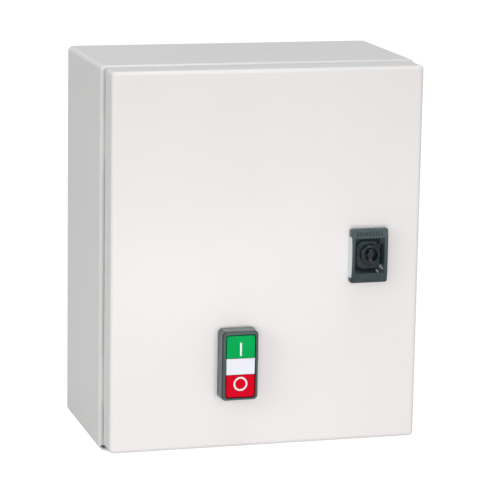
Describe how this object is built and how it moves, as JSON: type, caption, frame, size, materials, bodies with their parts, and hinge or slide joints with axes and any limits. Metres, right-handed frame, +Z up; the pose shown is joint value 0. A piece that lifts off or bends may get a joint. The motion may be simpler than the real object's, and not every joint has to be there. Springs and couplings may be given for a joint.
{
  "type": "enclosed motor starter",
  "caption": "Sheet-steel wall enclosure with a hinged door, quarter-turn lock and start/stop push button with pilot light; motor breaker, contactor and terminals inside.",
  "frame": {"origin": "centre of the back face, which lies on the wall", "axes": "+Z up, -Y out of the door towards the user, +X to the right of a person facing the door"},
  "size_m": [0.25, 0.1632, 0.3],
  "materials": {
    "enclosure_paint": "semi-matt polyester powder coat, fine orange peel",
    "zinc_steel": "bright zinc-plated steel",
    "core_steel": "laminated magnet steel",
    "earth_brass": "plain brass",
    "seal_rubber": "matt foam and rubber",
    "gland_paint": "semi-matt powder coat",
    "lock_grey": "light grey moulded seat",
    "lock_black": "polished black plastic",
    "bezel_grey": "satin dark grey plastic",
    "start_green": "smooth green cap",
    "stop_red": "smooth red cap",
    "symbol_white": "white second-shot moulding",
    "lens_white": "milky lamp lens",
    "block_green": "green contact block",
    "block_red": "red contact block",
    "block_white": "off-white lamp block",
    "device_dark": "dark grey moulded case",
    "device_light": "mid grey moulded case",
    "dial_white": "off-white moulding",
    "test_red": "red test button",
    "armature_blue": "blue contact carrier",
    "coil_tape": "taped copper winding",
    "terminal_grey": "grey polyamide",
    "earth_green_yellow": "green and yellow polyamide"
  },
  "bodies": {
    "enclosure": {"armature_spring": "zinc_steel", "body_earth_stud": "earth_brass", "body_hinge_leaves": "enclosure_paint", "breaker_base": "device_dark", "breaker_cover": "device_light", "breaker_terminal_screws": "zinc_steel", "cable_grommets": "seal_rubber", "contactor_base": "device_dark", "contactor_coil": "coil_tape", "contactor_cover": "device_light", "contactor_terminal_screws": "zinc_steel", "earth_terminal": "earth_green_yellow", "enclosure_body": "enclosure_paint", "end_clamps": "terminal_grey", "gland_gasket": "seal_rubber", "gland_plate": "gland_paint", "gland_screws": "zinc_steel", "gutter_rim": "enclosure_paint", "hinge_pins": "zinc_steel", "link_module": "device_dark", "lower_rail": "zinc_steel", "magnet_core": "core_steel", "middle_rail": "zinc_steel", "mounting_plate": "zinc_steel", "plate_nuts": "zinc_steel", "plate_studs": "zinc_steel", "rail_screws": "zinc_steel", "terminal_block_1": "terminal_grey", "terminal_block_2": "terminal_grey", "terminal_block_3": "terminal_grey", "upper_rail": "zinc_steel"},
    "door": {"door_panel": "enclosure_paint", "door_gasket": "seal_rubber", "door_hinge_leaves": "enclosure_paint", "door_earth_stud": "earth_brass", "lock_seat": "lock_grey", "lock_housing": "lock_black", "lock_nut": "lock_black", "button_bezel": "bezel_grey", "pilot_lens": "lens_white", "fixing_collar": "bezel_grey", "start_contact_block": "block_green", "stop_contact_block": "block_red", "lamp_block": "block_white", "start_spring": "zinc_steel", "stop_spring": "zinc_steel"},
    "lock_insert": {"lock_rotor": "lock_black", "lock_cam": "zinc_steel", "cam_screw": "zinc_steel"},
    "start_actuator": {"start_button": "start_green", "start_symbol": "symbol_white", "start_plunger": "block_green"},
    "stop_actuator": {"stop_button": "stop_red", "stop_symbol": "symbol_white", "stop_plunger": "block_red"},
    "breaker_switch": {"breaker_knob": "device_dark"},
    "current_setting": {"current_dial": "dial_white"},
    "trip_test": {"test_button": "test_red"},
    "rail_clip": {"breaker_rail_clip": "dial_white"},
    "armature": {"contactor_armature": "armature_blue"}
  },
  "joints": [
    {"name": "door_swing", "type": "hinge", "parent": "enclosure", "child": "door", "pos_m": [-0.1182, -0.1284, 0], "axis": [0, 0, -1], "range_deg": [0, 110]},
    {"name": "lock_turn", "type": "hinge", "parent": "door", "child": "lock_insert", "pos_m": [0.0816, -0.15, 0.0034], "axis": [0, -1, 0], "range_deg": [0, 90]},
    {"name": "start_press", "type": "slide", "parent": "door", "child": "start_actuator", "axis": [0, 1, 0], "range_m": [0, 0.003], "stiffness_N_per_m": 500, "springref_m": -0.003, "deforming": ["start_spring"]},
    {"name": "stop_press", "type": "slide", "parent": "door", "child": "stop_actuator", "axis": [0, 1, 0], "range_m": [0, 0.003], "stiffness_N_per_m": 500, "springref_m": -0.003, "deforming": ["stop_spring"]},
    {"name": "breaker_knob_turn", "type": "hinge", "parent": "enclosure", "child": "breaker_switch", "pos_m": [-0.0355, -0.082, 0.085], "axis": [0, 1, 0], "range_deg": [0, 90]},
    {"name": "current_dial_turn", "type": "hinge", "parent": "enclosure", "child": "current_setting", "pos_m": [-0.018, -0.08, 0.059], "axis": [0, 1, 0], "range_deg": [0, 270]},
    {"name": "test_press", "type": "slide", "parent": "enclosure", "child": "trip_test", "axis": [0, 1, 0], "range_m": [0, 0.0015], "stiffness_N_per_m": 400, "springref_m": -0.002},
    {"name": "rail_clip_pull", "type": "slide", "parent": "enclosure", "child": "rail_clip", "axis": [0, 0, -1], "range_m": [0, 0.0035], "stiffness_N_per_m": 900, "springref_m": -0.002},
    {"name": "armature_pull", "type": "slide", "parent": "enclosure", "child": "armature", "axis": [0, 1, 0], "range_m": [0, 0.0036], "stiffness_N_per_m": 1500, "springref_m": -0.003, "deforming": ["armature_spring"]}
  ]
}
